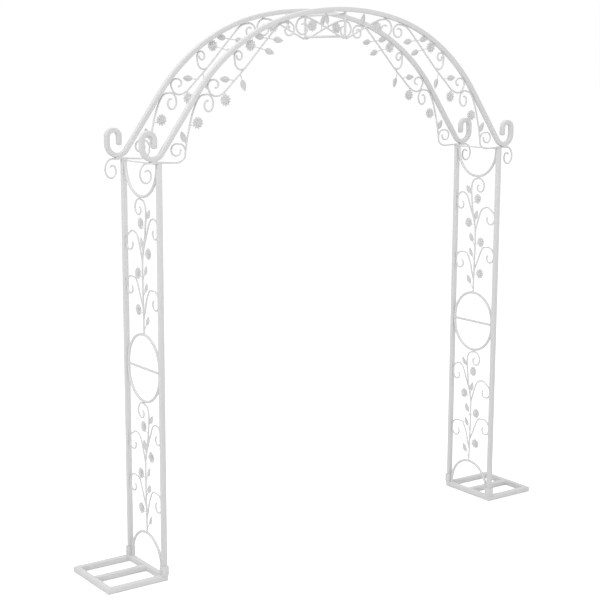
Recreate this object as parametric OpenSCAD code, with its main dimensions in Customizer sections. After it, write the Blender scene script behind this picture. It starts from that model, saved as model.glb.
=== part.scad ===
/* [Overall] */
// Distance between the centre lines of the left and right columns
span = 1870; // [1640:10:2100]
// Distance between the centre lines of the front and back posts
depth = 296; // [270:2:330]
// Height of the post tops above the ground
post_top = 1761; // [1700:1:1840]
// Height of the arch tube's centre line above the post tops, at the crown
rise = 630; // [590:2:680]

/* [Posts and base] */
// Width of the square post tube
post_w = 20; // [18:0.5:24]
// Wall of the post tube
post_wall = 1.5; // [1:0.1:2.5]
// Width of the square base tube
base_w = 25; // [20:1:30]
// Distance from the posts' centre line to the outer base tube's centre line
base_reach = 260; // [200:5:320]
// Width of the square socket around a post's foot
socket_w = 30; // [27:0.5:34]
// Height of the socket above the base tube
socket_h = 40; // [20:1:45]

/* [Column rings and rods] */
// Diameter of the rings' and hoops' rod
ring_d = 12; // [9:0.5:14]
// Height of each ring above its width
ring_stretch = 25; // [0:1:60]
// Height of the centre ring's middle above the ground
ring_z = 893; // [860:1:920]
// Diameter of the crossbar in the centre ring
crossbar_d = 11; // [8:0.5:12]
// Diameter of the tie rod between two post tops
tie_d = 6; // [5:0.5:8]

/* [Arch tube] */
// Width of the square arch tube
tube_w = 20; // [18:0.5:24]
// Chamfer along the arch tube's edges
tube_edge = 2; // [1:0.5:4]
// Half the angle of the flat arc at the crown
crown_angle = 13.5; // [10:0.5:17]
// Radius of the crown arc as a multiple of the haunch radius
crown_ratio = 1.4; // [1.2:0.05:2]
// Slope of the straight leg, below horizontal
leg_angle = 54.5; // [52:0.5:58]
// Radius of the curl that turns up at the foot of the arch
curl_r = 48.5; // [42:0.5:56]
// Radius of the return bend at the top of the curl
return_r = 28; // [24:1:32]
// Straight length up the outside of the curl
curl_rise = 29; // [15:1:40]
// Straight length down the inside of the curl
curl_end = 36; // [25:1:45]
// Distance from the posts' centre line out to the curl's centre
curl_offset = 27.5; // [24:0.5:32]
// Length of the saddle beyond the curl's lowest point
saddle_tail = 15; // [10:1:20]

/* [Wire, leaves and roses] */
// Diameter of the scrollwork wire
wire_d = 7; // [5.5:0.5:7.5]
// Length of a leaf
leaf_len = 44; // [30:1:50]
// Width of a leaf
leaf_w = 22; // [14:1:28]
// Thickness of the sheet that the leaves are cut from
leaf_t = 2; // [1.5:0.1:3]
// Diameter of a rose
rose_d = 40; // [30:1:46]
// Depth of a rose, front to back
rose_t = 8; // [5:0.5:10]
// Number of petals around a rose's rim
petals = 9; // [6:1:12]

/* [Crown frame] */
// Diameter of the crown frame's rods
crown_rod = 10; // [8:0.5:12]
// Depth of the crown frame below the arch tube's centre line
crown_drop = 125; // [100:1:140]

/* [Hidden] */

finish = "whitesmoke";
clear = 0.3;
cut = 1;
post_x = span / 2;
post_y = depth / 2;

// Rings touch the inner faces of the posts
ring_r = post_y - post_w / 2 - clear - ring_d / 2;
ring_half_h = ring_r + ring_stretch / 2 + ring_d / 2;
foot_top = base_w + ring_half_h;
upper_hoop_bottom = post_top - ring_half_h;

// The saddle is as thick as the wire that is welded to its ends
saddle_h = wire_d + 0.6;
saddle_l = post_w / 2 + curl_offset + saddle_tail;

// The arch curve: a flat crown arc, a tighter haunch arc and a straight leg, tangent to the curl.
// A shape is [half span, rise, crown angle, crown ratio, leg angle, curl radius, curl offset]
shape = [post_x, rise, crown_angle, crown_ratio, leg_angle, curl_r, curl_offset];
crown_z = post_top + rise;
curl_lift = saddle_h + clear + tube_w / 2;
function haunch_and_leg(s) =
    let (foot = s[0] + s[6] - s[5] * sin(s[4]), fall = s[1] - curl_lift - s[5] * (1 - cos(s[4])),
         across = s[3] * sin(s[2]) + sin(s[4]) - sin(s[2]),
         down = s[3] * (1 - cos(s[2])) + cos(s[2]) - cos(s[4]),
         det = across * sin(s[4]) - cos(s[4]) * down)
    [(foot * sin(s[4]) - cos(s[4]) * fall) / det, (across * fall - down * foot) / det];
haunch_r = haunch_and_leg(shape)[0];
leg_len = haunch_and_leg(shape)[1];
crown_r = crown_ratio * haunch_r;

// Height of a shape's curve above the post tops, at x from the middle
function arch_height(s, x) =
    let (r = haunch_and_leg(s)[0], c = s[3] * r, hx = (c - r) * sin(s[2]),
         hz = s[1] - c + (c - r) * cos(s[2]), lx = hx + r * sin(s[4]))
    x < c * sin(s[2]) ? s[1] - c + sqrt(c * c - x * x) :
    x < lx ? hz + sqrt(r * r - (x - hx) * (x - hx)) : hz + r * cos(s[4]) - (x - lx) * tan(s[4]);

// Points that a bend or a straight adds to a path in a plane: [radius, turn] or [0, length]
chord_error = 0.5;
function bend_steps(r, turn) = ceil(abs(turn) / (2 * acos(1 - chord_error / r)));
function bend_points(p, h, r, turn, n, k = 0) = k == n ? [] :
    let (m = h + turn * (k + 0.5) / n, s = 2 * r * sin(abs(turn) / n / 2),
         q = p + s * [cos(m), sin(m)])
    concat([q], bend_points(q, h, r, turn, n, k + 1));
function bent(p, h, parts, i = 0) = i == len(parts) ? [] :
    let (r = parts[i][0], t = parts[i][1],
         add = r == 0 ? [p + t * [cos(h), sin(h)]] : bend_points(p, h, r, t, bend_steps(r, t)))
    concat(add, bent(add[len(add) - 1], r == 0 ? h : h + t, parts, i + 1));

// A smooth curve through a few points
stem_steps = 2;
function blend(a, b, c, d, t) = 0.5 * (2 * b + (c - a) * t + (2 * a - 5 * b + 4 * c - d) * t * t
    + (3 * b - a - 3 * c + d) * t * t * t);
function spot(p, k, t) = blend(p[max(k - 1, 0)], p[k], p[k + 1], p[min(k + 2, len(p) - 1)], t);
function smooth(p) = [for (i = [0 : len(p) - 2], j = [0 : stem_steps - 1]) spot(p, i, j / stem_steps)];
function heading(a, b) = atan2(b[1] - a[1], b[0] - a[0]);

// A volute: a spiral that goes on from point p along heading h, with its radius shrinking
volute_step = 36;
function volute(p, h, r0, r1, turn, n, k = 0) = k == n ? [] :
    let (r = r0 + (r1 - r0) * (k + 0.5) / n, m = h + turn * (k + 0.5) / n,
         q = p + 2 * r * sin(abs(turn) / n / 2) * [cos(m), sin(m)])
    concat([q], volute(q, h, r0, r1, turn, n, k + 1));

// A stem through the points p that ends in a volute of k times the given radii, stretched upright:
// [first radius, last radius, turn, stretch]
function scroll(p, curl, k = 1) = let (last = len(p) - 1, h = heading(p[last - 1], p[last]))
    concat(smooth(p), [p[last]],
           [for (q = volute([0, 0], atan2(sin(h) / curl[3], cos(h)), curl[0] * k, curl[1] * k, curl[2],
                            ceil(abs(curl[2]) / volute_step))) p[last] + [q[0], q[1] * curl[3]]]);

// Sections of bars, as [across the path, y]
function round_bar(d) = [for (t = [30 : 60 : 330]) d / 2 / sqrt(cos(30)) * [cos(t), sin(t)]];
function square_bar(w, edge) = let (a = w / 2, b = w / 2 - edge)
    [[a, -b], [a, b], [b, a], [-b, a], [-a, b], [-a, -b], [-b, -a], [b, -a]];
// A bar swept along a path that lies in the XZ plane
module swept(path, section) {
    n = len(path);
    sides = len(section);
    points = [for (i = [0 : n - 1])
        let (a = path[max(i - 1, 0)], b = path[i], c = path[min(i + 1, n - 1)], h = heading(a, c),
             turn = i == 0 || i == n - 1 ? 0 : heading(a, b) - heading(b, c), m = 1 / abs(cos(turn / 2)))
        for (q = section) [b[0] - sin(h) * m * q[0], q[1], b[1] + cos(h) * m * q[0]]];
    around = [for (i = [0 : n - 2], j = [0 : sides - 1]) let (k = (j + 1) % sides)
        [i * sides + j, i * sides + k, (i + 1) * sides + k, (i + 1) * sides + j]];
    ends = [[for (j = [sides - 1 : -1 : 0]) j], [for (j = [0 : sides - 1]) (n - 1) * sides + j]];
    polyhedron(points, concat(around, ends), convexity = 10);
}

// Base
module base_frame() {
    outer = base_reach + base_w;
    y_out = post_y + base_w / 2;
    translate([post_x - base_w / 2, -y_out, 0]) difference() {
        cube([outer, 2 * y_out, base_w]);
        for (y = [base_w, y_out + base_w / 2])
            translate([base_w, y, -cut]) cube([base_reach - base_w, y_out - 1.5 * base_w, base_w + 2 * cut]);
    }
}
module socket() {
    bore = post_w + 2 * clear;
    translate([0, 0, base_w]) difference() {
        translate([-socket_w / 2, -socket_w / 2, 0]) cube([socket_w, socket_w, socket_h]);
        translate([-bore / 2, -bore / 2, -cut]) cube([bore, bore, socket_h + 2 * cut]);
    }
}
module post() {
    bore = post_w - 2 * post_wall;
    translate([0, 0, base_w]) difference() {
        translate([-post_w / 2, -post_w / 2, 0]) cube([post_w, post_w, post_top - base_w]);
        translate([-bore / 2, -bore / 2, -cut]) cube([bore, bore, post_top - base_w - post_wall + cut]);
    }
}

// Column rings: half a ring in the YZ plane, opening down
module half_ring(r, leg) {
    translate([post_x, 0, 0]) rotate([90, 0, 90]) {
        rotate_extrude(angle = 180, $fn = 96) translate([r, 0]) circle(d = ring_d, $fn = 32);
        for (s = [-1, 1]) translate([s * r, -leg, 0]) rotate([-90, 0, 0])
            cylinder(d = ring_d, h = leg, $fn = 32);
    }
}
// The lower hoop stands between the sockets, and the upper hoop hangs under the tie rod
module lower_hoop() {
    r = post_y - socket_w / 2 - clear - ring_d / 2;
    leg = ring_half_h - r - ring_d / 2;
    translate([0, 0, base_w + leg]) half_ring(r, leg);
}
module centre_ring() {
    for (s = [0, 1]) translate([0, 0, ring_z + (s ? -1 : 1) * ring_stretch / 2])
        mirror([0, 0, s]) half_ring(ring_r, ring_stretch / 2);
}
module ring_crossbar() {
    half = ring_r - ring_d / 2 - clear;
    translate([post_x, half, ring_z]) rotate([90, 0, 0]) cylinder(d = crossbar_d, h = 2 * half, $fn = 32);
}
module upper_hoop() {
    leg = ring_stretch / 2;
    translate([0, 0, post_top - leg]) mirror([0, 0, 1]) half_ring(ring_r, leg - tie_d - clear);
}
module tie_rod() {
    translate([post_x, post_y - post_w / 2 - clear, post_top - tie_d / 2]) rotate([90, 0, 0])
        cylinder(d = tie_d, h = depth - post_w - 2 * clear, $fn = 32);
}

// Column vines, drawn as [y, height above the hoop or ring that they stand on], for the right column,
// in a run 565 high, with 268.4 for the wires' centre lines between the posts
drawn_run = [565, 268.4];
vine_stem = [[5, 0], [3, 110], [0, 220], [2, 310], [14, 360], [28, 435], [35, 510], [23, 548], [-2, 558]];
vine_wires = [
    [vine_stem, [42, 7, 385, 1.03]],
    [[[14, 360], [31, 398], [45, 430], [57, 457]], [49, 4, -415, 1.27]],
    [[[0, 305], [-19, 361], [-41, 408], [-80, 424], [-112, 409]], [41, 16, 285, 1]],
    [[[2, 108], [-16, 144], [-32, 181], [-54, 221], [-84, 229]], [45, 7, 360, 1.1]],
    [[[5, 60], [19, 98], [28, 135], [48, 174], [60, 188], [91, 190]], [45, 8, -360, 1.13]]];
lower_run = [foot_top, ring_z - ring_half_h];
upper_run = [ring_z + ring_half_h, upper_hoop_bottom];
vine_room = depth - post_w - wire_d - 2 * clear;
function run_scale(run) = [vine_room / drawn_run[1], (run[1] - run[0]) / drawn_run[0]];
function on_run(p, run) = let (k = run_scale(run)) [for (q = p) [q[0] * k[0], run[0] + q[1] * k[1]]];
module vine(run) {
    translate([post_x, 0, 0]) rotate([0, 0, 90])
        for (w = vine_wires) swept(on_run(scroll(w[0], w[1]), run), round_bar(wire_d));
}
module lower_vine() { vine(lower_run); }
module upper_vine() { vine(upper_run); }

// Leaves and roses, each cut from sheet with its stalk, along +X from the wire's centre, at k of their
// size where the scrollwork is smaller than drawn
stalk_w = 3;
stalk_gap = 0.45;
wire_side = wire_d / 2 * sqrt(cos(30));
function stalk_foot(turn) = (wire_side + stalk_gap + stalk_w / 2 * abs(cos(turn))) / abs(sin(turn));
module leaf(foot, reach, k) {
    n = 7;
    edge = [for (i = [1 : n - 1]) let (t = i / n)
        [reach + leaf_len * k * t, leaf_w * k / 2 * pow(sin(180 * pow(t, 0.8)), 0.8)]];
    rotate([90, 0, 0]) linear_extrude(leaf_t, center = true)
        polygon(concat([[foot, stalk_w / 2], [reach, stalk_w / 2]], edge, [[reach + leaf_len * k, 0]],
                       [for (i = [n - 2 : -1 : 0]) [edge[i][0], -edge[i][1]]],
                       [[reach, -stalk_w / 2], [foot, -stalk_w / 2]]));
}
// A disc with a wave of petals around its rim
module rosette(d, t, steps) {
    rotate([90, 0, 0]) linear_extrude(t, center = true)
        polygon([for (i = [0 : steps * petals - 1]) let (a = 360 * i / steps / petals)
            (d / 2 * (0.93 + 0.07 * cos(a * petals))) * [cos(a), sin(a)]]);
}
module rose(foot, reach, k) {
    d = rose_d * k;
    middle = reach + d / 2;
    translate([middle, 0, 0]) {
        rosette(d, leaf_t, 4);
        rosette(d * 0.66, rose_t * 0.6, 2);
        translate([0, rose_t / 2, 0]) rotate([90, 0, 0]) cylinder(d = d * 0.36, h = rose_t, $fn = 24);
    }
    translate([foot, -leaf_t / 2 + 0.2, -stalk_w / 2]) cube([middle - foot, leaf_t - 0.4, stalk_w]);
}
// Where they hang: [stretch of the stem, place along it, angle from the wire, reach of the stalk],
// the reach as a share of the leaf's length or the rose's diameter
module hung(stem, s, kind, k) {
    p = spot(stem, s[0], s[1]);
    h = heading(spot(stem, s[0], s[1] - 0.02), spot(stem, s[0], s[1] + 0.02));
    translate([p[0], 0, p[1]]) rotate([0, -h - s[2], 0]) {
        if (kind == "leaf") leaf(stalk_foot(s[2]), s[3] * leaf_len * k, k);
        else rose(stalk_foot(s[2]), s[3] * rose_d * k, k);
    }
}
vine_leaves = [[5, 0.5, -33, 0.3], [3, 0.5, 31, 0.52], [2, 0, -30, 0.72], [1, 0.36, -33, 0.65],
               [0, 0.13, -35, 0.8]];
vine_roses = [[4, 0.99, 64, 0.65], [3, 0.36, -64, 0.65], [2, 0.15, 70, 0.55], [0, 0.78, 76, 0.6]];
module on_vines(spots, kind) {
    translate([post_x, 0, 0]) rotate([0, 0, 90]) for (run = [lower_run, upper_run], s = spots)
        hung(on_run(vine_stem, run), s, kind, min(concat(run_scale(run), 1)));
}
module column_leaves() { on_vines(vine_leaves, "leaf"); }
module column_roses() { on_vines(vine_roses, "rose"); }

// Arch
half_arch = [[crown_r, -crown_angle], [haunch_r, crown_angle - leg_angle], [0, leg_len],
             [curl_r, leg_angle + 90], [0, curl_rise], [return_r, 180], [0, curl_end]];
module arch_tube() {
    right = bent([0, crown_z], 0, half_arch);
    left = [for (i = [len(right) - 1 : -1 : 0]) [-right[i][0], right[i][1]]];
    swept(concat(left, [[0, crown_z]], right), square_bar(tube_w, tube_edge));
}
// The block that carries the curl on the post's top, and that the scrollwork starts from
module saddle() {
    translate([-post_w / 2, -post_w / 2, post_top]) cube([saddle_l, post_w, saddle_h]);
}

// Scrollwork of the right half of an arch, drawn as [x, z] for the drawn shape and post tops at 1761.
// A point keeps its share of the height under the arch curve. Under a lower curve, points in the upper
// part of that height keep their drop from the curve
drawn_top = 1761;
drawn = [935, 630, 13.5, 1.4, 54.5, 48.5, 27.5];
spread = post_x / drawn[0];
upper_share = 0.85;
function place(p) = [for (q = p)
    let (x = min(q[0], 0.9 * drawn[0]), h = arch_height(drawn, x), up = q[1] - drawn_top,
         change = arch_height(shape, x * spread) - h, share = up / h)
    [q[0] * spread, post_top + up + change * (change < 0 ? min(1, share / upper_share) : share)]];
saddle_in = [(post_x - post_w / 2 - clear - 0.1) / spread, drawn_top + saddle_h / 2];
saddle_out = [(post_x - post_w / 2 + saddle_l + clear + 0.1) / spread, drawn_top + saddle_h / 2];
arch_wires = [
    [[saddle_in, [880, 1763], [842, 1763], [815, 1780], [809, 1812], [798, 1871], [779, 1946],
      [756, 2003], [736, 2028], [710, 2034]], [31, 10, 400, 1.35]],
    [[saddle_out, saddle_out + [10, 0]], [36, 11, -420, 1.3]],
    [[[809, 1812], [824, 1834], [846, 1838]], [27, 19, -300, 1]],
    [[[430.5, 2236.5], [519.5, 2140.5], [571, 2091], [622, 2043], [657, 2027], [685, 2034], [698, 2055]],
     [34, 13, 300, 0.85]],
    [[[430.5, 2236.5], [393, 2276], [360, 2310], [337, 2325], [309, 2331]], [33, 12, 420, 1]],
    [[[519.5, 2140.5], [538, 2134], [553, 2137], [566, 2152], [571, 2182]], [22, 9, 400, 1.1]],
    [[[(crown_rod / 2 + 1.5) / spread, 2267], [47, 2285], [122, 2321], [180, 2346], [212, 2352]],
     [43, 13, -420, 1]]];
module scrolls() {
    for (w = arch_wires) swept(scroll(place(w[0]), w[1], spread), round_bar(wire_d));
}
// Each is [wire, stretch of its stem, place along it, angle from the wire, reach of the stalk]
arch_leaves_at = [[0, 4, 0.4, -34, 0.27], [3, 1, 0.4, -64, 0.6], [3, 2, 0, 48, 0.57],
                  [3, 0, 0.2, -115, 0.57], [4, 0, 0.7, -126, 0.46], [4, 0, 0.7, 54, 0.66],
                  [6, 1, 0.55, 50, 0.55]];
arch_roses_at = [[0, 5, 0.5, 59, 0.53], [3, 2, 0.95, -58, 0.38], [3, 0, 0.2, 60, 0.75],
                 [6, 2, 0.4, -51, 0.3]];
module on_scrolls(spots, kind) {
    for (side = [0, 1], s = spots) mirror([side, 0, 0])
        hung(place(arch_wires[s[0]][0]), [s[1], s[2], s[3], s[4]], kind, min(spread, 1));
}
module arch_leaves() { on_scrolls(arch_leaves_at, "leaf"); }
module arch_roses() { on_scrolls(arch_roses_at, "rose"); }

// Crown frame
module crown_frame() {
    top = crown_z - tube_w / 2 - clear;
    bottom = crown_z - crown_drop;
    for (y = [-post_y, post_y]) translate([0, y, bottom]) cylinder(d = crown_rod, h = top - bottom, $fn = 32);
    for (z = [bottom + crown_rod, top - crown_rod]) translate([0, post_y, z]) rotate([90, 0, 0])
        cylinder(d = crown_rod - 1, h = depth, $fn = 32);
}

// Placing: the left column is the right one turned half round, and an arch half is mirrored
module on_column(side) {
    color(finish) rotate([0, 0, side == "left" ? 180 : 0]) children();
}
module at_corner(side, row) {
    color(finish) translate([side == "left" ? -post_x : post_x, row == "front" ? -post_y : post_y, 0])
        mirror([side == "left" ? 1 : 0, 0, 0]) children();
}
module at_arch(row) {
    color(finish) translate([0, row == "front" ? -post_y : post_y, 0]) children();
}
module half(side) {
    mirror([side == "left" ? 1 : 0, 0, 0]) children();
}

on_column("left") base_frame();  // left_base_frame
on_column("right") base_frame();  // right_base_frame
at_corner("left", "front") socket();  // left_front_socket
at_corner("left", "back") socket();  // left_back_socket
at_corner("right", "front") socket();  // right_front_socket
at_corner("right", "back") socket();  // right_back_socket
at_corner("left", "front") post();  // left_front_post
at_corner("left", "back") post();  // left_back_post
at_corner("right", "front") post();  // right_front_post
at_corner("right", "back") post();  // right_back_post
on_column("left") lower_hoop();  // left_lower_hoop
on_column("right") lower_hoop();  // right_lower_hoop
on_column("left") centre_ring();  // left_centre_ring
on_column("right") centre_ring();  // right_centre_ring
on_column("left") ring_crossbar();  // left_ring_crossbar
on_column("right") ring_crossbar();  // right_ring_crossbar
on_column("left") upper_hoop();  // left_upper_hoop
on_column("right") upper_hoop();  // right_upper_hoop
on_column("left") lower_vine();  // left_lower_vine
on_column("right") lower_vine();  // right_lower_vine
on_column("left") upper_vine();  // left_upper_vine
on_column("right") upper_vine();  // right_upper_vine
on_column("left") column_leaves();  // left_column_leaves
on_column("right") column_leaves();  // right_column_leaves
on_column("left") column_roses();  // left_column_roses
on_column("right") column_roses();  // right_column_roses
on_column("left") tie_rod();  // left_tie_rod
on_column("right") tie_rod();  // right_tie_rod
at_corner("left", "front") saddle();  // left_front_saddle
at_corner("left", "back") saddle();  // left_back_saddle
at_corner("right", "front") saddle();  // right_front_saddle
at_corner("right", "back") saddle();  // right_back_saddle
at_arch("front") arch_tube();  // front_arch_tube
at_arch("back") arch_tube();  // back_arch_tube
at_arch("front") half("left") scrolls();  // front_left_scrolls
at_arch("front") half("right") scrolls();  // front_right_scrolls
at_arch("back") half("left") scrolls();  // back_left_scrolls
at_arch("back") half("right") scrolls();  // back_right_scrolls
at_arch("front") arch_leaves();  // front_arch_leaves
at_arch("back") arch_leaves();  // back_arch_leaves
at_arch("front") arch_roses();  // front_arch_roses
at_arch("back") arch_roses();  // back_arch_roses
color(finish) crown_frame();
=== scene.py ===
import math

import bmesh
import bpy
import numpy as np
from mathutils import Matrix, Vector


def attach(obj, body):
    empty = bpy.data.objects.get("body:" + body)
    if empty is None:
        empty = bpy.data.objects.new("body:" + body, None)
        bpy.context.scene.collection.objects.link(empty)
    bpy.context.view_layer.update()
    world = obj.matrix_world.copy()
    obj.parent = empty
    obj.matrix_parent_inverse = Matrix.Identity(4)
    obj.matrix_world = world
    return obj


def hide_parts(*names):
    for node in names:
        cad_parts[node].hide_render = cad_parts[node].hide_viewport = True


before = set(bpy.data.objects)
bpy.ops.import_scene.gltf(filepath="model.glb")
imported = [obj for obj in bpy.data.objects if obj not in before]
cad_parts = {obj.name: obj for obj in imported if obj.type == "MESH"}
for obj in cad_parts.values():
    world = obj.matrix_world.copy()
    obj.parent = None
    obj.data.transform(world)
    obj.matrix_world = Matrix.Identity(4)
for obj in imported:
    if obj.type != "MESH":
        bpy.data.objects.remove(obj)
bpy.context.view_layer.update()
MM = 0.001

# Driving sizes in millimetres, the same values as in the part's source
SPAN, DEPTH, POST_TOP, RISE = 1870, 296, 1761, 630
POST_W, BASE_W, BASE_REACH, SOCKET_W, SOCKET_H = 20, 25, 260, 30, 40
RING_D, RING_STRETCH, RING_Z, CROSSBAR_D, TIE_D = 12, 25, 893, 11, 6
TUBE_W, CROWN_ANGLE, CROWN_RATIO, LEG_ANGLE = 20, 13.5, 1.4, 54.5
CURL_R, RETURN_R, CURL_RISE, CURL_END, CURL_OFFSET, SADDLE_TAIL = 48.5, 28, 29, 36, 27.5, 15
WIRE_D, LEAF_LEN, LEAF_W, ROSE_D, ROSE_T, PETALS = 7, 44, 22, 40, 8, 9
CROWN_ROD, CROWN_DROP, CLEAR = 10, 125, 0.3

# Sizes of the finish alone, in millimetres: ornaments, coat, rounded edges and weld beads
STALK_D, BLADE_LEN, BLADE_W, BLOOM_D, COAT = 3, 48, 27, 50, 0.4
BASE_ROUND, POST_ROUND, SOCKET_ROUND, SADDLE_ROUND, TUBE_ROUND = 4, 1.5, 1.2, 1, 2
BEAD_R, CROWN_BEAD_R, TACK_R, BEAD_STEP = 1.5, 1.7, 2.2, 1.6
BAR_SIDES, WIRE_SIDES, TIE_SIDES, STALK_SIDES = 20, 14, 16, 10
CREASE, BEVEL_CREASE = math.radians(50), math.radians(32)

# Places that follow from these sizes
POST_X, POST_Y = SPAN / 2, DEPTH / 2

RING_R = POST_Y - POST_W / 2 - CLEAR - RING_D / 2
RING_HALF_H = RING_R + RING_STRETCH / 2 + RING_D / 2
LOWER_R = POST_Y - SOCKET_W / 2 - CLEAR - RING_D / 2
LOWER_LEG = RING_HALF_H - LOWER_R - RING_D / 2
LOWER_RUN = (BASE_W + RING_HALF_H, RING_Z - RING_HALF_H)
UPPER_RUN = (RING_Z + RING_HALF_H, POST_TOP - RING_HALF_H)
SADDLE_H = WIRE_D + 0.6
SADDLE_L = POST_W / 2 + CURL_OFFSET + SADDLE_TAIL
CROWN_Z = POST_TOP + RISE
CURL_LIFT = SADDLE_H + CLEAR + TUBE_W / 2
CROWN_TOP = CROWN_Z - TUBE_W / 2 - CLEAR
CROWN_BOTTOM = CROWN_Z - CROWN_DROP
HOOP_TOP = POST_TOP - RING_STRETCH / 2
CROSS_HALF = RING_R - RING_D / 2 - CLEAR
TIE_HALF, TIE_Z = POST_Y - POST_W / 2 - CLEAR, POST_TOP - TIE_D / 2


# Paths in a plane, as lists of (across, up) in millimetres
def heading(a, b):
    return math.atan2(b[1] - a[1], b[0] - a[0])


def along(a, b, n):
    return [(a[0] + (b[0] - a[0]) * i / n, a[1] + (b[1] - a[1]) * i / n) for i in range(n + 1)]


def arc(centre, r, start, end, n):
    """Points of an arc between two angles in degrees."""
    turn = [math.radians(start + (end - start) * i / n) for i in range(n + 1)]
    return [(centre[0] + r * math.cos(t), centre[1] + r * math.sin(t)) for t in turn]


def spot(p, k, t):
    """A point of the smooth curve through the points p, on its stretch k."""
    a, b, c, d = (np.array(p[min(max(i, 0), len(p) - 1)], float) for i in range(k - 1, k + 3))
    return 0.5 * (2 * b + (c - a) * t + (2 * a - 5 * b + 4 * c - d) * t * t
                  + (3 * b - a - 3 * c + d) * t ** 3)


def volute(start, h, curl, k):
    """A spiral that goes on from a stem's end along heading h."""
    r0, r1, turn, stretch = curl
    n = math.ceil(abs(turn) / 9)
    m = math.atan2(math.sin(h) / stretch, math.cos(h))
    step = math.radians(turn) / n
    q, out = np.zeros(2), []
    for i in range(n):
        r = (r0 + (r1 - r0) * (i + 0.5) / n) * k
        a = m + step * (i + 0.5)
        q = q + 2 * r * math.sin(abs(step) / 2) * np.array([math.cos(a), math.sin(a)])
        out.append((start[0] + q[0], start[1] + q[1] * stretch))
    return out


def scroll(p, curl, k=1):
    """A stem through the points p that ends in a volute."""
    stem = [tuple(spot(p, i, j / 6)) for i in range(len(p) - 1) for j in range(6)]
    return stem + [tuple(p[-1])] + volute(p[-1], heading(p[-2], p[-1]), curl, k)


# Column vines, drawn as (y, height above the hoop or ring below) in a run 565 high
DRAWN_RUN = 565
VINE_STEM = [(5, 0), (3, 110), (0, 220), (2, 310), (14, 360), (28, 435), (35, 510), (23, 548),
             (-2, 558)]
VINE_WIRES = [
    (VINE_STEM, (42, 7, 385, 1.03)),
    ([(14, 360), (31, 398), (45, 430), (57, 457)], (49, 4, -415, 1.27)),
    ([(0, 305), (-19, 361), (-41, 408), (-80, 424), (-112, 409)], (41, 16, 285, 1)),
    ([(2, 108), (-16, 144), (-32, 181), (-54, 221), (-84, 229)], (45, 7, 360, 1.1)),
    ([(5, 60), (19, 98), (28, 135), (48, 174), (60, 188), (91, 190)], (45, 8, -360, 1.13))]
# Ornaments: stretch of the stem, place along it, angle from the wire, reach as a share of the size
# of the ornament
VINE_LEAVES = [(5, 0.5, -33, 0.3), (3, 0.5, 31, 0.52), (2, 0, -30, 0.72), (1, 0.36, -33, 0.65),
               (0, 0.13, -35, 0.8)]
VINE_ROSES = [(4, 0.99, 64, 0.65), (3, 0.36, -64, 0.65), (2, 0.15, 70, 0.55), (0, 0.78, 76, 0.6)]

# Scrollwork of the right half of an arch, drawn as (x, z)
SADDLE_IN = (POST_X - POST_W / 2 - CLEAR - 0.1, POST_TOP + SADDLE_H / 2)
SADDLE_OUT = (POST_X - POST_W / 2 + SADDLE_L + CLEAR + 0.1, POST_TOP + SADDLE_H / 2)
ARCH_WIRES = [
    ([SADDLE_IN, (880, 1763), (842, 1763), (815, 1780), (809, 1812), (798, 1871), (779, 1946),
      (756, 2003), (736, 2028), (710, 2034)], (31, 10, 400, 1.35)),
    ([SADDLE_OUT, (SADDLE_OUT[0] + 10, SADDLE_OUT[1])], (36, 11, -420, 1.3)),
    ([(809, 1812), (824, 1834), (846, 1838)], (27, 19, -300, 1)),
    ([(430.5, 2236.5), (519.5, 2140.5), (571, 2091), (622, 2043), (657, 2027), (685, 2034),
      (698, 2055)], (34, 13, 300, 0.85)),
    ([(430.5, 2236.5), (393, 2276), (360, 2310), (337, 2325), (309, 2331)], (33, 12, 420, 1)),
    ([(519.5, 2140.5), (538, 2134), (553, 2137), (566, 2152), (571, 2182)], (22, 9, 400, 1.1)),
    ([(CROWN_ROD / 2 + 1.5, 2267), (47, 2285), (122, 2321), (180, 2346), (212, 2352)],
     (43, 13, -420, 1))]
# Ornaments on the arch: wire, then as on the vines
ARCH_LEAVES = [(0, 4, 0.4, -34, 0.27), (3, 1, 0.4, -64, 0.6), (3, 2, 0, 48, 0.57),
               (3, 0, 0.2, -115, 0.57), (4, 0, 0.7, -126, 0.46), (4, 0, 0.7, 54, 0.66),
               (6, 1, 0.55, 50, 0.55)]
ARCH_ROSES = [(0, 5, 0.5, 59, 0.53), (3, 2, 0.95, -58, 0.38), (3, 0, 0.2, 60, 0.75),
              (6, 2, 0.4, -51, 0.3)]


def half_arch():
    """Centre line of the right half of the arch tube, from the crown to the curl's end."""
    ca, la = math.radians(CROWN_ANGLE), math.radians(LEG_ANGLE)
    foot = POST_X + CURL_OFFSET - CURL_R * math.sin(la)
    fall = RISE - CURL_LIFT - CURL_R * (1 - math.cos(la))
    across = CROWN_RATIO * math.sin(ca) + math.sin(la) - math.sin(ca)
    down = CROWN_RATIO * (1 - math.cos(ca)) + math.cos(ca) - math.cos(la)
    det = across * math.sin(la) - math.cos(la) * down
    haunch = (foot * math.sin(la) - math.cos(la) * fall) / det
    leg = (across * fall - down * foot) / det
    crown = CROWN_RATIO * haunch
    haunch_centre = ((crown - haunch) * math.sin(ca),
                     CROWN_Z - crown + (crown - haunch) * math.cos(ca))
    path = arc((0, CROWN_Z - crown), crown, 90, 90 - CROWN_ANGLE, 24)
    path += arc(haunch_centre, haunch, 90 - CROWN_ANGLE, 90 - LEG_ANGLE, 48)[1:]
    end = path[-1]
    path.append((end[0] + leg * math.cos(la), end[1] - leg * math.sin(la)))
    curl_x, curl_z = POST_X + CURL_OFFSET, POST_TOP + CURL_LIFT + CURL_R
    path += arc((curl_x, curl_z), CURL_R, -90 - LEG_ANGLE, 0, 30)[1:]
    path += arc((curl_x + CURL_R - RETURN_R, curl_z + CURL_RISE), RETURN_R, 0, 180, 30)
    path.append((path[-1][0], path[-1][1] - CURL_END))
    return path


ARCH_HALF = half_arch()


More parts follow.
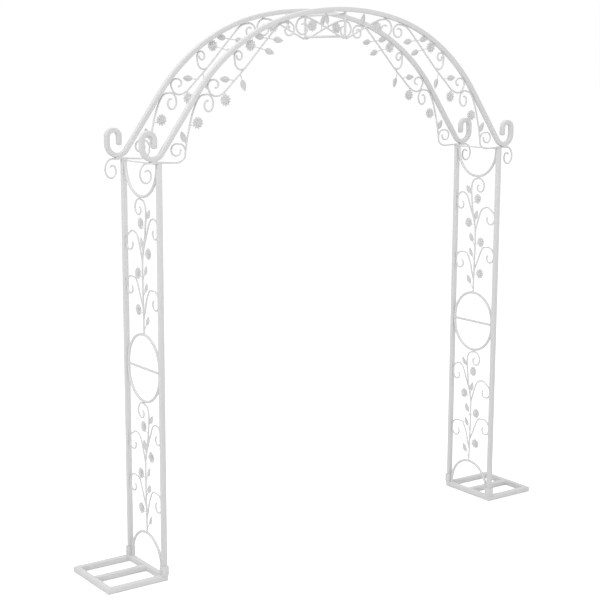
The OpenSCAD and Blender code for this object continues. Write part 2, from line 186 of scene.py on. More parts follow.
# Where a plane's drawing lies: turn about Z in degrees, offset in millimetres, mirrored or not
def arch_place(side, row):
    return 0, (0, -POST_Y if row == "front" else POST_Y, 0), side == "left"


def column_place(side):
    return (90, (POST_X, 0, 0), False) if side == "right" else (270, (-POST_X, 0, 0), False)


def to_space(place, p, thick=0):
    turn, offset, mirrored = place
    a = math.radians(turn)
    x = -p[0] if mirrored else p[0]
    return Vector((x * math.cos(a) - thick * math.sin(a) + offset[0],
                   x * math.sin(a) + thick * math.cos(a) + offset[1], p[1] + offset[2])) * MM


def on_run(p, run):
    """Fits points that are drawn on the vine's own run between two heights."""
    return [(q[0], run[0] + q[1] * (run[1] - run[0]) / DRAWN_RUN) for q in p]


# Materials
def powder_coat(name, colour, rough, peel):
    """White powder coat: a faint orange peel, with small changes of tone and gloss."""
    m = bpy.data.materials.new(name)
    m.use_nodes = True
    nodes, links = m.node_tree.nodes, m.node_tree.links
    shader = nodes["Principled BSDF"]
    coords = nodes.new("ShaderNodeTexCoord")
    tone = nodes.new("ShaderNodeTexNoise")
    tone.inputs["Scale"].default_value = 9
    tone.inputs["Detail"].default_value = 4
    mix = nodes.new("ShaderNodeMix")
    mix.data_type = "RGBA"
    mix.inputs["A"].default_value = (*[c * 0.95 for c in colour], 1)
    mix.inputs["B"].default_value = (*colour, 1)
    gloss = nodes.new("ShaderNodeTexNoise")
    gloss.inputs["Scale"].default_value = 60
    span = nodes.new("ShaderNodeMapRange")
    span.inputs["To Min"].default_value = rough - 0.07
    span.inputs["To Max"].default_value = rough + 0.09
    grain = nodes.new("ShaderNodeTexNoise")
    grain.inputs["Scale"].default_value = 700
    grain.inputs["Detail"].default_value = 3
    bump = nodes.new("ShaderNodeBump")
    bump.inputs["Strength"].default_value = peel
    bump.inputs["Distance"].default_value = 0.0002
    for node in (tone, gloss, grain):
        links.new(coords.outputs["Object"], node.inputs["Vector"])
    links.new(tone.outputs["Fac"], mix.inputs["Factor"])
    links.new(mix.outputs["Result"], shader.inputs["Base Color"])
    links.new(gloss.outputs["Fac"], span.inputs["Value"])
    links.new(span.outputs["Result"], shader.inputs["Roughness"])
    links.new(grain.outputs["Fac"], bump.inputs["Height"])
    links.new(bump.outputs["Normal"], shader.inputs["Normal"])
    shader.inputs["Coat Weight"].default_value = 0.15
    shader.inputs["Coat Roughness"].default_value = 0.35
    return m


WHITE = (0.71, 0.71, 0.71)
COATS = {
    "tube": powder_coat("tube_coat", WHITE, 0.42, 0.12),
    "rod": powder_coat("rod_coat", WHITE, 0.42, 0.12),
    "wire": powder_coat("wire_coat", WHITE, 0.45, 0.15),
    # Painted shade: the leaves and their stalks get a darker copy of the same white coat, standing
    # for the shade that falls on them
    "leaf": powder_coat("leaf_coat", (0.67, 0.67, 0.67), 0.48, 0.20),
    # Painted light: the roses and their stalks get a lighter copy of the same white coat,
    # offsetting the shade in the petals' hollows
    "rose": powder_coat("rose_coat", (0.77, 0.77, 0.77), 0.50, 0.20)}


# Meshes and pieces
def new_object(name, verts, edges=(), faces=()):
    mesh = bpy.data.meshes.new(name)
    mesh.from_pydata([tuple(v) for v in verts], list(edges), list(faces))
    mesh.update()
    o = bpy.data.objects.new(name, mesh)
    bpy.context.scene.collection.objects.link(o)
    return o


def piece(o, slot, replaced=(), smooth=True):
    """Gives a piece its finish, its body and the CAD nodes that it stands for."""
    if not o.data.materials:
        o.data.materials.append(COATS[slot])
    if smooth:
        o.data.shade_smooth()
    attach(o, "root")
    if replaced:
        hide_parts(*replaced)
    return o


def bevelled(node, width, slot):
    """A copy of a square-edged CAD node with its edges rounded."""
    bm = bmesh.new()
    bm.from_mesh(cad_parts[node].data)
    bmesh.ops.remove_doubles(bm, verts=bm.verts, dist=0.00001)
    bmesh.ops.dissolve_limit(bm, angle_limit=math.radians(1), verts=bm.verts, edges=bm.edges)
    sharp = [e for e in bm.edges if e.is_manifold and e.calc_face_angle() > math.radians(30)]
    bmesh.ops.bevel(bm, geom=sharp, offset=width * MM, offset_type="OFFSET", segments=3,
                    profile=0.5, affect="EDGES", clamp_overlap=True)
    mesh = bpy.data.meshes.new(node + "_rounded")
    bm.to_mesh(mesh)
    bm.free()
    o = bpy.data.objects.new(node + "_rounded", mesh)
    bpy.context.scene.collection.objects.link(o)
    o.data.shade_smooth()
    o.data.set_sharp_from_angle(angle=BEVEL_CREASE)
    return piece(o, slot, [node], smooth=False)


# Geometry Nodes groups
def group(name, sockets):
    g = bpy.data.node_groups.new(name, "GeometryNodeTree")
    g.interface.new_socket("Geometry", in_out="INPUT", socket_type="NodeSocketGeometry")
    g.interface.new_socket("Geometry", in_out="OUTPUT", socket_type="NodeSocketGeometry")
    for label, kind in sockets:
        g.interface.new_socket(label, in_out="INPUT", socket_type="NodeSocket" + kind)
    return g, g.nodes.new("NodeGroupInput"), g.nodes.new("NodeGroupOutput")


def wire_group():
    """Turns edge chains into round bar."""
    g, start, end = group("round_bar", [("Radius", "Float"), ("Sides", "Int"),
                                        ("Finish", "Material")])
    chain = g.nodes.new("GeometryNodeMeshToCurve")
    circle = g.nodes.new("GeometryNodeCurvePrimitiveCircle")
    sweep = g.nodes.new("GeometryNodeCurveToMesh")
    sweep.inputs["Fill Caps"].default_value = True
    finish = g.nodes.new("GeometryNodeSetMaterial")
    g.links.new(start.outputs["Geometry"], chain.inputs["Mesh"])
    g.links.new(start.outputs["Radius"], circle.inputs["Radius"])
    g.links.new(start.outputs["Sides"], circle.inputs["Resolution"])
    g.links.new(chain.outputs["Curve"], sweep.inputs["Curve"])
    g.links.new(circle.outputs["Curve"], sweep.inputs["Profile Curve"])
    g.links.new(sweep.outputs["Mesh"], finish.inputs["Geometry"])
    g.links.new(start.outputs["Finish"], finish.inputs["Material"])
    g.links.new(finish.outputs["Geometry"], end.inputs["Geometry"])
    return g


def ornament_group():
    """Sets a copy of an ornament on every point, turned as the point's attribute says."""
    g, start, end = group("ornaments", [("Ornament", "Object"), ("Twist", "Float"), ("Seed", "Int"),
                                        ("Finish", "Material")])
    info = g.nodes.new("GeometryNodeObjectInfo")
    info.inputs["As Instance"].default_value = True
    turn = g.nodes.new("GeometryNodeInputNamedAttribute")
    turn.data_type = "FLOAT_VECTOR"
    turn.inputs["Name"].default_value = "turn"
    chance = g.nodes.new("FunctionNodeRandomValue")
    chance.data_type = "FLOAT"
    chance.inputs["Min"].default_value = -1
    chance.inputs["Max"].default_value = 1
    scaled = g.nodes.new("ShaderNodeMath")
    scaled.operation = "MULTIPLY"
    twist = g.nodes.new("ShaderNodeCombineXYZ")
    both = g.nodes.new("ShaderNodeVectorMath")
    both.operation = "ADD"
    euler = g.nodes.new("FunctionNodeEulerToRotation")
    scatter = g.nodes.new("GeometryNodeInstanceOnPoints")
    real = g.nodes.new("GeometryNodeRealizeInstances")
    finish = g.nodes.new("GeometryNodeSetMaterial")
    link = g.links.new
    link(start.outputs["Ornament"], info.inputs["Object"])
    link(start.outputs["Seed"], chance.inputs["Seed"])
    link(chance.outputs["Value"], scaled.inputs[0])
    link(start.outputs["Twist"], scaled.inputs[1])
    link(scaled.outputs[0], twist.inputs["X"])
    link(turn.outputs["Attribute"], both.inputs[0])
    link(twist.outputs["Vector"], both.inputs[1])
    link(both.outputs["Vector"], euler.inputs["Euler"])
    link(start.outputs["Geometry"], scatter.inputs["Points"])
    link(info.outputs["Geometry"], scatter.inputs["Instance"])
    link(euler.outputs["Rotation"], scatter.inputs["Rotation"])
    link(scatter.outputs["Instances"], real.inputs["Geometry"])
    link(real.outputs["Geometry"], finish.inputs["Geometry"])
    link(start.outputs["Finish"], finish.inputs["Material"])
    link(finish.outputs["Geometry"], end.inputs["Geometry"])
    return g


def bead_group():
    """Lays weld beads along edge chains, one overlapping the next."""
    g, start, end = group("weld_beads", [("Spacing", "Float"), ("Radius", "Float"), ("Seed", "Int"),
                                         ("Finish", "Material")])
    chain = g.nodes.new("GeometryNodeMeshToCurve")
    points = g.nodes.new("GeometryNodeCurveToPoints")
    points.mode = "LENGTH"
    ball = g.nodes.new("GeometryNodeMeshIcoSphere")
    ball.inputs["Subdivisions"].default_value = 2
    size = g.nodes.new("FunctionNodeRandomValue")
    size.data_type = "FLOAT"
    size.inputs["Min"].default_value = 0.85
    size.inputs["Max"].default_value = 1.15
    scatter = g.nodes.new("GeometryNodeInstanceOnPoints")
    real = g.nodes.new("GeometryNodeRealizeInstances")
    finish = g.nodes.new("GeometryNodeSetMaterial")
    link = g.links.new
    link(start.outputs["Geometry"], chain.inputs["Mesh"])
    link(chain.outputs["Curve"], points.inputs["Curve"])
    link(start.outputs["Spacing"], points.inputs["Length"])
    link(start.outputs["Radius"], ball.inputs["Radius"])
    link(start.outputs["Seed"], size.inputs["Seed"])
    link(points.outputs["Points"], scatter.inputs["Points"])
    link(ball.outputs["Mesh"], scatter.inputs["Instance"])
    link(size.outputs["Value"], scatter.inputs["Scale"])
    link(scatter.outputs["Instances"], real.inputs["Geometry"])
    link(real.outputs["Geometry"], finish.inputs["Geometry"])
    link(start.outputs["Finish"], finish.inputs["Material"])
    link(finish.outputs["Geometry"], end.inputs["Geometry"])
    return g


WIRE_GROUP, ORNAMENT_GROUP, BEAD_GROUP = wire_group(), ornament_group(), bead_group()


def baked(o, g, values):
    """Runs a node group on an object and keeps the result as its plain mesh."""
    modifier = o.modifiers.new("make", "NODES")
    modifier.node_group = g
    for item in g.interface.items_tree:
        if item.in_out == "INPUT" and item.name in values:
            modifier[item.identifier] = values[item.name]
    o.update_tag()
    dg = bpy.context.evaluated_depsgraph_get()
    dg.update()
    mesh = bpy.data.meshes.new_from_object(o.evaluated_get(dg))
    o.modifiers.clear()
    old, o.data = o.data, mesh
    mesh.name = o.name
    bpy.data.meshes.remove(old)
    return o


def chains(name, paths):
    """One mesh of edge chains; a path is (points, closed)."""
    verts, edges = [], []
    for points, closed in paths:
        first = len(verts)
        verts += points
        last = len(verts) - 1
        edges += [(i, i + 1) for i in range(first, last)] + ([(last, first)] if closed else [])
    return new_object(name, verts, edges)


def bars(name, paths, d, slot, replaced, sides=WIRE_SIDES):
    """Round bars along paths, with the coat on them."""
    o = baked(chains(name, paths), WIRE_GROUP, {"Radius": (d / 2 + COAT) * MM, "Sides": sides,
                                                "Finish": COATS[slot]})
    piece(o, slot, replaced)
    o.data.set_sharp_from_angle(angle=CREASE)


def beads(name, paths, slot, radius=BEAD_R, seed=3):
    """Weld beads along paths."""
    o = baked(chains(name, paths), BEAD_GROUP, {"Spacing": BEAD_STEP * MM, "Radius": radius * MM,
                                                "Seed": seed, "Finish": COATS[slot]})
    piece(o, slot)


# Square tube, swept along a path in the XZ plane with rounded edges
def rounded_square(w, r, n=4):
    """Points round a square section, n stretches to a corner."""
    half = w / 2 - r
    return [(cx * half + r * math.cos(a), cy * half + r * math.sin(a))
            for k, (cx, cy) in enumerate(((1, 1), (-1, 1), (-1, -1), (1, -1)))
            for a in [math.radians(90 * k + 90 * j / n) for j in range(n + 1)]]


def swept_tube(name, path, section, y, size):
    """A section swept along a path, scaled at each point by its entry in size."""
    verts, faces, sides = [], [], len(section)
    for i, b in enumerate(path):
        a, c = path[max(i - 1, 0)], path[min(i + 1, len(path) - 1)]
        h = heading(a, c)
        turn = 0 if i in (0, len(path) - 1) else heading(a, b) - heading(b, c)
        m = 1 / abs(math.cos(turn / 2))
        verts += [Vector((b[0] - math.sin(h) * m * q[0] * size[i], y + q[1] * size[i],
                          b[1] + math.cos(h) * m * q[0] * size[i])) * MM for q in section]
    for i in range(len(path) - 1):
        for j in range(sides):
            k = (j + 1) % sides
            faces.append((i * sides + j, i * sides + k, (i + 1) * sides + k, (i + 1) * sides + j))
    last = (len(path) - 1) * sides
    faces += [tuple(range(sides - 1, -1, -1)), tuple(range(last, last + sides))]
    return new_object(name, verts, (), faces)


def arch_tube(row, y):
    """The bent tube from curl to curl, with a dome of n rings on each end."""
    left = [(-x, z) for x, z in ARCH_HALF[:0:-1]]
    path = left + ARCH_HALF
    dome, n = TUBE_W / 2 - 3, 8
    x, z = ARCH_HALF[-1]
    cap = [dome * (1 - math.sin(math.pi / 2 * i / n)) for i in range(n)]
    path = [(-x, z + c) for c in cap[::-1]] + path[1:-1] + [(x, z + c) for c in cap]
    size = [math.cos(math.pi / 2 * i / n * 0.97) for i in range(n)]
    size = size[::-1] + [1] * (len(path) - 2 * n) + size
    o = swept_tube(row + "_arch_tube_bent", path, rounded_square(TUBE_W, TUBE_ROUND), y, size)
    piece(o, "tube", [row + "_arch_tube"])
    o.data.set_sharp_from_angle(angle=CREASE)


# Leaves: a pointed blade with a folded midrib, side veins and a nicked edge, along +X from its base
def leaf_blade():
    rows, cols = 26, 6
    verts, faces = [], []
    for face in (1, -1):
        for i in range(rows + 1):
            t = i / rows
            width = BLADE_W / 2 * math.sin(math.pi * t ** 0.8) ** 0.7 if 0 < t < 1 else 0.15
            nick = 1 - 0.07 * (1 - abs(math.sin(math.pi * 6.5 * t)))
            for j in range(-cols, cols + 1):
                s = j / cols
                across = s * max(width * (nick if abs(j) == cols else 1), 0.8 * (1 - t) + 0.15)
                wave = math.cos(2 * math.pi * (6.5 * t - 1.3 * abs(s)))
                vein = 0.45 * max(0, wave) ** 6 * (1 - abs(s))
                fold = 1.8 * abs(s) ** 1.3 * math.sin(math.pi * t) - 1.6 * t * t
                rib = 0.8 * (1 - t) * max(0, 1 - abs(s) * 5)
                thick = 0.7 * (1 - 0.5 * abs(s))
                height = fold + face * (thick + rib + vein)
                verts.append(Vector((BLADE_LEN * t, height, across)) * MM)
    n, wide = (rows + 1) * (2 * cols + 1), 2 * cols + 1
    for i in range(rows):
        for j in range(wide - 1):
            q = (i * wide + j, i * wide + j + 1, (i + 1) * wide + j + 1, (i + 1) * wide + j)
            faces += [q, tuple(n + v for v in reversed(q))]
    rim = ([i * wide for i in range(rows + 1)] + [rows * wide + j for j in range(1, wide)]
           + [i * wide + wide - 1 for i in range(rows - 1, -1, -1)] + list(range(wide - 2, 0, -1)))
    faces += [(a, b, n + b, n + a) for a, b in zip(rim, rim[1:] + rim[:1])]
    o = new_object("leaf_blade", verts, (), faces)
    o.data.shade_smooth()
    return o


# Roses: rings of cupped petals round a rolled bud, the same on both faces
def petal(r_in, r_out, width, cup, lift, angle, face, verts, faces, point):
    """Adds one petal on a face of the bloom: cup bends it up and point narrows its tip."""
    rows, cols, thick = 6, 6, 0.5
    first = len(verts)
    for side in (1, -1):
        for i in range(rows + 1):
            t = i / rows
            r = r_in + (r_out - r_in) * t
            half = (width * (0.45 + 0.55 * math.sin(math.pi / 2 * min(1, t * 1.4)))
                    * (1 - point * t ** 3.5))
            for j in range(cols + 1):
                s = 2 * j / cols - 1
                a = angle + s * half
                reach = r * (1 - 0.10 * s * s * t + 0.03 * t * math.cos(4 * s))
                y = face * (lift + cup * t * t + 0.8 * s * s * t) + side * thick * face
                verts.append((reach * math.cos(a), y, reach * math.sin(a)))
    n, wide = (rows + 1) * (cols + 1), cols + 1
    for i in range(rows):
        for j in range(cols):
            q = tuple(first + v for v in (i * wide + j, i * wide + j + 1, (i + 1) * wide + j + 1,
                                          (i + 1) * wide + j))
            faces += [q, tuple(n + v for v in reversed(q))]
    rim = ([i * wide for i in range(rows + 1)] + [rows * wide + j for j in range(1, wide)]
           + [i * wide + cols for i in range(rows - 1, -1, -1)] + list(range(cols - 1, 0, -1)))
    faces += [(first + a, first + b, first + n + b, first + n + a)
              for a, b in zip(rim, rim[1:] + rim[:1])]


def rose_head():
    verts, faces = [], []
    big = BLOOM_D / 2
    # Each ring: petals, start, inner radius, outer share, width, cup, lift, point
    rings = ((PETALS + 2, 0, 5, 1, 0.36, 0.5, 0.3, 0.6), (7, 0.4, 3, 0.68, 0.50, 0.8, 1.3, 0.5),
             (5, 0.7, 1.5, 0.42, 0.70, 0.9, 2.2, 0.3))
    for face in (1, -1):
        for n, start, inner, outer, width, cup, lift, point in rings:
            for i in range(n):
                petal(inner, big * outer, width, cup, lift, 2 * math.pi * (i + start) / n, face,
                      verts, faces, point)
        petal(0.3, big * 0.20, 1.6, 0.8, 3.0, 0.6, face, verts, faces, 0)
        petal(0.3, big * 0.18, 1.6, 0.9, 3.0, 0.6 + math.pi, face, verts, faces, 0)
    o = new_object("rose_head", [Vector(v) * MM for v in verts], (), faces)
    o.data.shade_smooth()
    return o


LEAF, ROSE = leaf_blade(), rose_head()


def hung(stem, entry, size, is_leaf):
    """Where an ornament hangs, in the stem's plane: its foot, its own place and its angle."""
    stretch, t, turn, share = entry
    p = spot(stem, stretch, t)
    h = heading(spot(stem, stretch, t - 0.02), spot(stem, stretch, t + 0.02))
    a = h + math.radians(turn)
    out = np.array([math.cos(a), math.sin(a)])
    reach = share * size + (0 if is_leaf else size / 2)
    return p + out * (WIRE_D / 2 - 0.4), p + out * reach, a


def ornaments(name, spots, is_leaf, replaced):
    """Leaves or roses with their stalks. A spot is (place of the plane, stem, entry)."""
    slot, size = ("leaf", LEAF_LEN) if is_leaf else ("rose", ROSE_D)
    points, turns, stalks, welds = [], [], [], []
    for place, stem, entry in spots:
        foot, at, a = hung(stem, entry, size, is_leaf)
        points.append(to_space(place, at))
        a = math.pi - a if place[2] else a
        turns.append((0, -a, math.radians(place[0])))
        ends = along(foot, at + (at - foot) / np.linalg.norm(at - foot) * (3 if is_leaf else 0), 6)
        sag = [(q[0], q[1] - 0.8 * math.sin(math.pi * i / 6)) for i, q in enumerate(ends)]
        stalks.append(([to_space(place, q) for q in sag], False))
        welds.append(to_space(place, foot))
    o = new_object(name, points)
    turned = o.data.attributes.new("turn", "FLOAT_VECTOR", "POINT")
    turned.data.foreach_set("vector", np.ravel(turns))
    baked(o, ORNAMENT_GROUP, {"Ornament": LEAF if is_leaf else ROSE,
                              "Twist": 0.15 if is_leaf else 0.08,
                              "Seed": len(name), "Finish": COATS[slot]})
    piece(o, slot, replaced)
    bars(name + "_stalks", stalks, STALK_D, slot, (), STALK_SIDES)
    return welds


# Building the arch
def ring(centre, axis, r, n=20):
    """A circle round a bar that runs along an axis; centre and r in millimetres."""
    u, v = {"x": ((0, 1, 0), (0, 0, 1)), "y": ((1, 0, 0), (0, 0, 1)),
            "z": ((1, 0, 0), (0, 1, 0))}[axis]
    u, v, c = Vector(u), Vector(v), Vector(centre)
    return [(c + u * r * math.cos(2 * math.pi * i / n) + v * r * math.sin(2 * math.pi * i / n)) * MM
            for i in range(n)], True


def line(a, b):
    return [Vector(a) * MM, Vector(b) * MM], False


def tack(at, reach):
    """A tack weld from a point along a short reach, both in metres."""
    return [at, at + Vector(reach)], False


def column(side):
    """One double column: hoops, ring, rods, vines, ornaments, base frame and welds."""
    place = column_place(side)

    def bar(points, closed=False):
        return [to_space(place, p) for p in points], closed

    def rod(name, half, z, d, sides, node):
        bars(side + name, [bar([(-half, z), (half, z)])], d, "rod", [side + node], sides)

    lower = ([(LOWER_R, BASE_W)] + arc((0, BASE_W + LOWER_LEG), LOWER_R, 0, 180, 60)
             + [(-LOWER_R, BASE_W)])
    rise = RING_STRETCH / 2 - TIE_D - CLEAR
    upper = ([(-RING_R, HOOP_TOP + rise)] + arc((0, HOOP_TOP), RING_R, 180, 360, 60)
             + [(RING_R, HOOP_TOP + rise)])
    loop = (arc((0, RING_Z + RING_STRETCH / 2), RING_R, 0, 180, 60)
            + arc((0, RING_Z - RING_STRETCH / 2), RING_R, 180, 360, 60))
    for part, points, closed in (("lower_hoop", lower, False), ("centre_ring", loop, True),
                                 ("upper_hoop", upper, False)):
        bars(f"{side}_{part}_bent", [bar(points, closed)], RING_D, "rod", [f"{side}_{part}"],
             BAR_SIDES)
    rod("_ring_crossbar_rod", CROSS_HALF, RING_Z, CROSSBAR_D, BAR_SIDES, "_ring_crossbar")
    rod("_tie_rod_bar", TIE_HALF, TIE_Z, TIE_D, TIE_SIDES, "_tie_rod")
    runs = {"lower": LOWER_RUN, "upper": UPPER_RUN}
    for part, run in runs.items():
        wires = [bar(on_run(scroll(w, curl), run)) for w, curl in VINE_WIRES]
        bars(f"{side}_{part}_vine_wires", wires, WIRE_D, "wire", [f"{side}_{part}_vine"])
    stems = [on_run(VINE_STEM, run) for run in runs.values()]
    feet = ornaments(side + "_column_leaf_blades",
                     [(place, p, e) for p in stems for e in VINE_LEAVES], True,
                     [side + "_column_leaves"])
    feet += ornaments(side + "_column_rose_heads",
                      [(place, p, e) for p in stems for e in VINE_ROSES], False,
                      [side + "_column_roses"])
    bevelled(side + "_base_frame", BASE_ROUND, "tube")
    beads(side + "_column_welds", column_seams(1 if side == "right" else -1), "rod")
    tacks = [tack(foot, (0, 0, 0.0012)) for foot in feet]
    for run in runs.values():
        for stem, _ in VINE_WIRES[1:]:
            joint = to_space(place, on_run(stem[:1], run)[0])
            tacks.append(tack(joint - Vector((0, 0, 0.003)), (0, 0, 0.006)))
    beads(side + "_column_tacks", tacks, "wire", TACK_R, 5)


def column_seams(s):
    """Weld seams of one column: bars to posts, sockets to base, and the base frame's joints."""
    x = s * POST_X
    seams = [ring((x, y, BASE_W + 0.3), "z", RING_D / 2 + 0.4) for y in (-LOWER_R, LOWER_R)]
    for y in (-1, 1):
        face = y * (POST_Y - POST_W / 2 - 0.8)
        for z0, z1 in ((RING_Z - 9, RING_Z + 9), (HOOP_TOP - 8, HOOP_TOP + 4)):
            seams += [line((x + e, face, z0), (x + e, face, z1)) for e in (-3.2, 3.2)]
        seams.append(ring((x, y * (CROSS_HALF + 0.2), RING_Z), "y", CROSSBAR_D / 2 + 0.3))
        seams.append(ring((x, y * (TIE_HALF - 0.2), TIE_Z), "y", TIE_D / 2 + 0.3))
    # A socket overhangs the base tube on one side, so its seam lies lower there
    under, on_top, half = BASE_W / 2 + 0.5, SOCKET_W / 2 + 0.2, 11
    low, high = BASE_W - 0.6, BASE_W + 0.3
    for y in (-1, 1):
        foot = y * POST_Y
        for e, z in ((-s * under, low), (s * on_top, high)):
            seams.append(line((x + e, foot - half, z), (x + e, foot + half, z)))
        for e, z in ((y * under, low), (-y * on_top, high)):
            seams.append(line((x - half, foot + e, z), (x + half, foot + e, z)))
    far, near = s * (POST_X + BASE_REACH - BASE_W / 2), s * (POST_X + BASE_W / 2)
    half = BASE_W / 2 - 2
    for y in (-POST_Y, 0, POST_Y):
        seams += [line((e, y - half, BASE_W), (e, y + half, BASE_W)) for e in (near, far)]
    return seams


def arch(row):
    """One arch tube with its scrollwork, ornaments, posts, sockets, saddles and welds."""
    y = -POST_Y if row == "front" else POST_Y
    arch_tube(row, y)
    leaves, roses = [], []
    for side in ("left", "right"):
        place = arch_place(side, row)
        wires = [([to_space(place, p) for p in scroll(w, curl)], False) for w, curl in ARCH_WIRES]
        bars(f"{row}_{side}_scroll_wires", wires, WIRE_D, "wire", [f"{row}_{side}_scrolls"])
        leaves += [(place, ARCH_WIRES[e[0]][0], e[1:]) for e in ARCH_LEAVES]
        roses += [(place, ARCH_WIRES[e[0]][0], e[1:]) for e in ARCH_ROSES]
        bevelled(f"{side}_{row}_post", POST_ROUND, "tube")
        bevelled(f"{side}_{row}_socket", SOCKET_ROUND, "tube")
        bevelled(f"{side}_{row}_saddle", SADDLE_ROUND, "tube")
    feet = ornaments(row + "_arch_leaf_blades", leaves, True, [row + "_arch_leaves"])
    feet += ornaments(row + "_arch_rose_heads", roses, False, [row + "_arch_roses"])
    seams, tacks = [], [tack(foot, (0, 0, 0.0012)) for foot in feet]
    for side in ("left", "right"):
        place = arch_place(side, row)
        s = -1 if side == "left" else 1
        for x in (SADDLE_IN[0] - 0.5, SADDLE_OUT[0] + 0.5):
            seams.append(ring((s * x, y, SADDLE_IN[1]), "x", WIRE_D / 2))
        for stem, _ in ARCH_WIRES[2:]:
            joint = to_space(place, stem[0])
            tacks.append(tack(joint - Vector((0.003, 0, 0)), (0.006, 0, 0)))
        x, z, half = s * (POST_X + CURL_OFFSET), POST_TOP + SADDLE_H + 0.6, 9
        for e in (-TUBE_W / 2 + 1, TUBE_W / 2 - 1):
            seams.append(line((x - s * half, y + e, z), (x + s * half, y + e, z)))
        for w, curl in ARCH_WIRES:
            seams += touches(place, scroll(w, curl))
    seams.append(ring((0, y, CROWN_TOP), "z", CROWN_ROD / 2 + 0.4))
    beads(row + "_arch_welds", seams, "tube")
    beads(row + "_arch_tacks", tacks, "wire", TACK_R, 7)


def touches(place, path):
    """Short seams where a wire lies against the underside of the arch tube."""
    tube = np.array(ARCH_HALF[:90])
    out = []
    gap = [np.min(np.hypot(*(tube - p).T)) for p in path]
    for i in range(2, len(path) - 2):
        if gap[i] < TUBE_W / 2 + WIRE_D / 2 + 3 and gap[i] == min(gap[max(i - 6, 0):i + 7]):
            near = tube[np.argmin(np.hypot(*(tube - path[i]).T))]
            c = np.array(path[i]) + (near - path[i]) * (WIRE_D / 2 / gap[i])
            d = np.array(path[i + 1]) - np.array(path[i - 1])
            d = d / np.linalg.norm(d) * 6
            for e in (-1.6, 1.6):
                out.append(([to_space(place, c - d, e), to_space(place, c + d, e)], False))
    return out


def crown():
    """The rectangle of rod that joins the two arches at the top."""
    levels = (CROWN_BOTTOM + CROWN_ROD, CROWN_TOP - CROWN_ROD)
    rods = [line((0, y, CROWN_BOTTOM), (0, y, CROWN_TOP)) for y in (-POST_Y, POST_Y)]
    rods += [line((0, -POST_Y, z), (0, POST_Y, z)) for z in levels]
    bars("crown_frame_rods", rods, CROWN_ROD, "rod", ["crown_frame"], BAR_SIDES)
    seams = [ring((0, y * (POST_Y - CROWN_ROD / 2), z), "y", CROWN_ROD / 2)
             for y in (-1, 1) for z in levels]
    beads("crown_frame_welds", seams, "rod", CROWN_BEAD_R, 9)


def screws(side):
    """Set screws that hold the posts in their sockets, each a washer with a hexagonal head."""
    s = 1 if side == "right" else -1
    out, up = s * (POST_X + SOCKET_W / 2), BASE_W + SOCKET_H / 2
    verts, faces = [], []
    for y in (-POST_Y, POST_Y):
        # Each disc: two radii, where it starts and ends, and its sides
        for r0, r1, x0, x1, n in ((6.5, 6.5, 0, 1.2, 24), (5.4, 4.9, 1.2, 4.6, 6)):
            first = len(verts)
            for r, x in ((r0, x0), (r1, x1)):
                turn = [2 * math.pi * i / n for i in range(n)]
                verts += [Vector((out + s * x, y + r * math.cos(t), up + r * math.sin(t))) * MM
                          for t in turn]
            faces += [(first + i, first + (i + 1) % n, first + n + (i + 1) % n, first + n + i)
                      for i in range(n)]
            faces += [tuple(first + i for i in range(n)), tuple(first + n + i for i in range(n))]
    o = new_object(side + "_socket_screws", verts, (), faces)
    bm = bmesh.new()
    bm.from_mesh(o.data)
    bmesh.ops.recalc_face_normals(bm, faces=bm.faces)
    bm.to_mesh(o.data)
    bm.free()
    piece(o, "tube", smooth=False)


for row in ("front", "back"):
    arch(row)
for side in ("left", "right"):
    column(side)
    screws(side)
crown()
for o in (LEAF, ROSE):
    bpy.data.objects.remove(o)

# Floor, light and camera: what the camera sees of the floor is lifted to white outside the shadows
WORLD_LIGHT, FLOOR_LIFT, KEY_POWER, FILL_POWER, TOP_POWER = 0.64, 0.46, 160, 40, 95
FLOOR_HALF, FLOOR_Z = 30, -0.001
floor = new_object("floor", [(x * FLOOR_HALF, y * FLOOR_HALF, FLOOR_Z)
                             for x, y in ((-1, -1), (1, -1), (1, 1), (-1, 1))],
                   (), [(0, 1, 2, 3)])
pale = bpy.data.materials.new("pale_floor")
pale.use_nodes = True
ground, glowing = pale.node_tree, pale.node_tree.nodes["Principled BSDF"]
glowing.inputs["Base Color"].default_value = (0.92, 0.92, 0.92, 1)
glowing.inputs["Roughness"].default_value = 1
glowing.inputs["Specular IOR Level"].default_value = 0
glowing.inputs["Emission Color"].default_value = (1, 1, 1, 1)
floor_rays = ground.nodes.new("ShaderNodeLightPath")
floor_lift = ground.nodes.new("ShaderNodeMath")
floor_lift.operation = "MULTIPLY"
floor_lift.inputs[1].default_value = FLOOR_LIFT
ground.links.new(floor_rays.outputs["Is Camera Ray"], floor_lift.inputs[0])
ground.links.new(floor_lift.outputs[0], glowing.inputs["Emission Strength"])
floor.data.materials.append(pale)

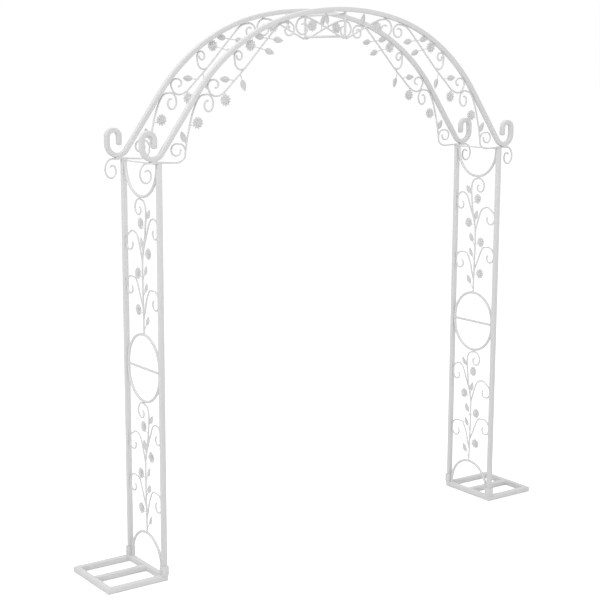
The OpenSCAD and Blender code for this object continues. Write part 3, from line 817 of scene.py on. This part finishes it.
world = bpy.data.worlds.new("studio")
bpy.context.scene.world = world
world.use_nodes = True
wn, wl = world.node_tree.nodes, world.node_tree.links
seen, glow, mix = wn.new("ShaderNodeBackground"), wn["Background"], wn.new("ShaderNodeMixShader")
rays = wn.new("ShaderNodeLightPath")
either, any_of = wn.new("ShaderNodeMath"), wn.new("ShaderNodeMath")
for node in (either, any_of):
    node.operation = "MAXIMUM"
glow.inputs["Color"].default_value = (1, 1, 1, 1)
glow.inputs["Strength"].default_value = WORLD_LIGHT
seen.inputs["Color"].default_value = (1, 1, 1, 1)
seen.inputs["Strength"].default_value = 1.0
wl.new(rays.outputs["Is Camera Ray"], either.inputs[0])
wl.new(rays.outputs["Is Glossy Ray"], either.inputs[1])
wl.new(either.outputs[0], any_of.inputs[0])
wl.new(rays.outputs["Is Transmission Ray"], any_of.inputs[1])
wl.new(any_of.outputs[0], mix.inputs["Fac"])
wl.new(glow.outputs["Background"], mix.inputs[1])
wl.new(seen.outputs["Background"], mix.inputs[2])
wl.new(mix.outputs["Shader"], wn["World Output"].inputs["Surface"])


def area_light(name, position, target, size, power):
    light = bpy.data.lights.new(name, "AREA")
    light.shape, light.size, light.energy = "DISK", size, power
    o = bpy.data.objects.new(name, light)
    bpy.context.scene.collection.objects.link(o)
    o.location = position
    o.rotation_mode = "QUATERNION"
    o.rotation_quaternion = (Vector(target) - Vector(position)).to_track_quat("-Z", "Y")


area_light("key", (-6.0, -2.5, 5.5), (0, 0, 1.2), 3.0, KEY_POWER)
area_light("fill", (3.5, -6.0, 3.0), (0, 0, 1.2), 3.0, FILL_POWER)
area_light("top", (-0.5, -0.5, 7.0), (0, 0, 0), 5.0, TOP_POWER)

# Camera, solved from the photograph
CAMERA_AT = (-3.6824, -4.9633, 2.1760)
YAW, PITCH, ROLL = (math.radians(a) for a in (35.604, -9.955, 0.237))
camera_data = bpy.data.cameras.new("camera")
camera = bpy.data.objects.new("camera", camera_data)
bpy.context.scene.collection.objects.link(camera)
bpy.context.scene.camera = camera
camera_data.sensor_width, camera_data.lens = 36.0, 82.217
camera_data.clip_end = 100
ahead = Vector((math.sin(YAW) * math.cos(PITCH), math.cos(YAW) * math.cos(PITCH), math.sin(PITCH)))
right = Vector((math.cos(YAW), -math.sin(YAW), 0))
up = right.cross(ahead)
right, up = (right * math.cos(ROLL) + up * math.sin(ROLL),
             up * math.cos(ROLL) - right * math.sin(ROLL))
axes = Matrix((right, up, -ahead)).transposed().to_4x4()
camera.matrix_world = Matrix.Translation(CAMERA_AT) @ axes

bpy.context.scene.view_settings.view_transform = "Standard"
